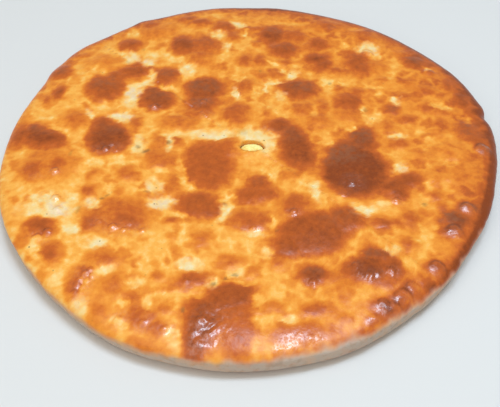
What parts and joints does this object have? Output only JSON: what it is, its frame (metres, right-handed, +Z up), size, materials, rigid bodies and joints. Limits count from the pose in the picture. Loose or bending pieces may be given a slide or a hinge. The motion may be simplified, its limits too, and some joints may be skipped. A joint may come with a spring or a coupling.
{
  "type": "imeruli khachapuri",
  "caption": "Whole round flat cheese bread, baked golden with brown blisters, with a small steam vent in the middle of its top where the cheese filling shows.",
  "frame": {"origin": "under the middle of the loaf, at the centre of its bounding box, on the surface that it lies on", "axes": "+Z up out of the blistered top; +X to the right and +Y to the back as a viewer at the front sees it"},
  "size_m": [0.2796, 0.2796, 0.0211],
  "materials": {
    "baked_dough": "egg-washed bread crust, golden with brown blisters on top, floury and matte on the side and underside",
    "melted_cheese": "moist melted cheese, pale yellow"
  },
  "bodies": {
    "root": {"dough": "baked_dough", "cheese": "melted_cheese"}
  },
  "joints": []
}
